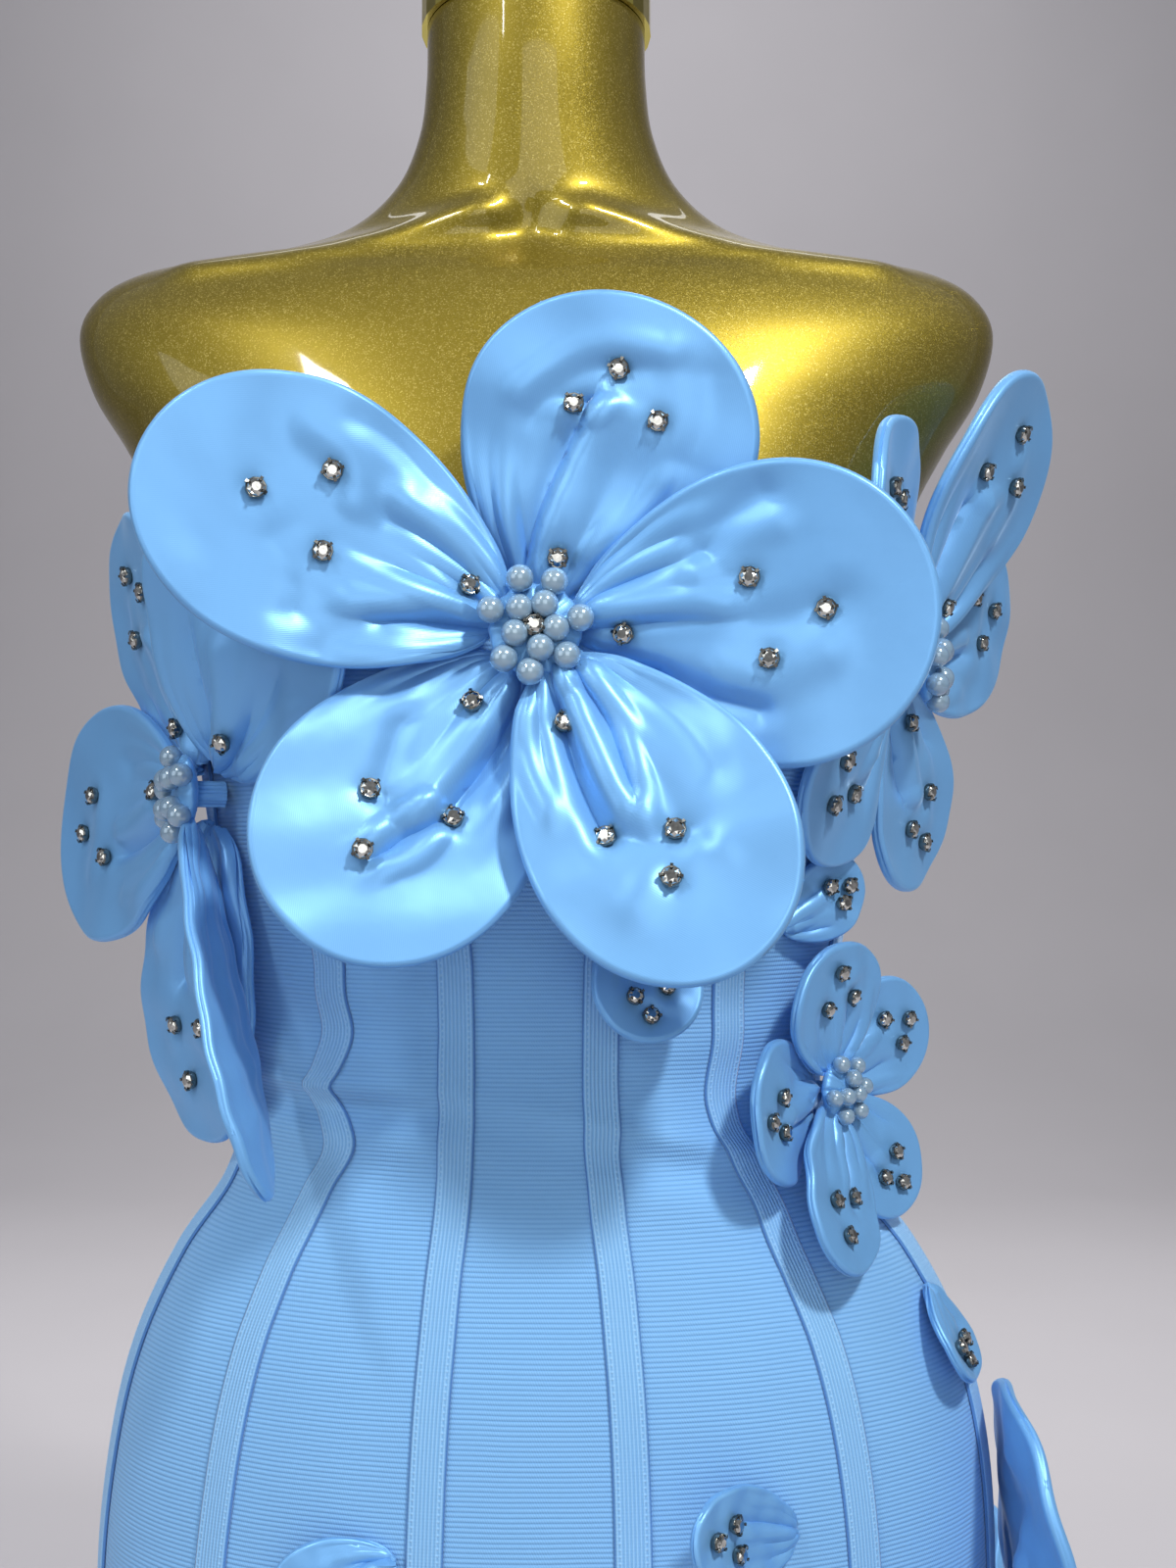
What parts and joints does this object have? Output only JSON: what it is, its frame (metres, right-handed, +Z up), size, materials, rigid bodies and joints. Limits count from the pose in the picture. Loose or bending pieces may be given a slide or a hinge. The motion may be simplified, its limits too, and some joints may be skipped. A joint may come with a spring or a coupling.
{
  "type": "mini dress on a limbless torso form",
  "caption": "Strapless ribbed-knit mini dress with padded satin flowers and pearl hearts, shown on a limbless gold torso form that stands on its own flat foot.",
  "frame": {"origin": "middle of the torso form's flat foot", "axes": "+Z up along the torso, -Y towards the dress's front, +X towards the right of someone facing the front"},
  "size_m": [0.4352, 0.2797, 0.9443],
  "materials": {
    "knit": "matte ribbed bandage knit",
    "strip_knit": "matte lengthwise-ribbed knit tape",
    "satin": "soft satin sheen",
    "pearl": "pearlescent gloss",
    "zip_tape": "woven tape with nylon coil",
    "steel": "bright plated",
    "stone": "cut glass, foiled back",
    "gold_shell": "metallic flake gold under gloss lacquer",
    "gold_mirror": "mirror gold plating"
  },
  "bodies": {
    "root": {"panel_centre_front": "knit", "panel_front_side_right": "knit", "panel_side_front_right": "knit", "panel_side_back_right": "knit", "panel_back_right": "knit", "panel_back_left": "knit", "panel_side_back_left": "knit", "panel_side_front_left": "knit", "panel_front_side_left": "knit", "strip_s1_right": "strip_knit", "strip_s2_right": "strip_knit", "strip_s3_right": "strip_knit", "strip_s4_right": "strip_knit", "strip_s1_left": "strip_knit", "strip_s2_left": "strip_knit", "strip_s3_left": "strip_knit", "strip_s4_left": "strip_knit", "hem_band": "strip_knit", "top_band": "strip_knit", "zip": "zip_tape", "zip_slider": "steel", "bust_petal_1": "satin", "bust_petal_2": "satin", "bust_petal_3": "satin", "bust_petal_4": "satin", "bust_petal_5": "satin", "left_petal_1": "satin", "left_petal_2": "satin", "left_petal_3": "satin", "left_petal_4": "satin", "left_petal_5": "satin", "right_petal_1": "satin", "right_petal_2": "satin", "right_petal_3": "satin", "right_petal_4": "satin", "right_petal_5": "satin", "waist_petal_1": "satin", "waist_petal_2": "satin", "waist_petal_3": "satin", "waist_petal_4": "satin", "waist_petal_5": "satin", "hip_petal_1": "satin", "hip_petal_2": "satin", "hip_petal_3": "satin", "hip_petal_4": "satin", "hip_petal_5": "satin", "loose_petal_1": "satin", "loose_petal_2": "satin", "loose_petal_3": "satin", "loose_petal_4": "satin", "loose_petal_5": "satin", "bust_pearls": "pearl", "left_pearls": "pearl", "right_pearls": "pearl", "waist_pearls": "pearl", "hip_pearls": "pearl", "form": "gold_shell", "form_cap": "gold_mirror"},
    "zip_pull": {"zip_pull": "steel"}
  },
  "joints": [
    {"name": "zip_pull_hinge", "type": "hinge", "parent": "root", "child": "zip_pull", "pos_m": [0, 0.1047, 0.66381], "axis": [1, 0, 0], "range_deg": [0, 170]}
  ]
}
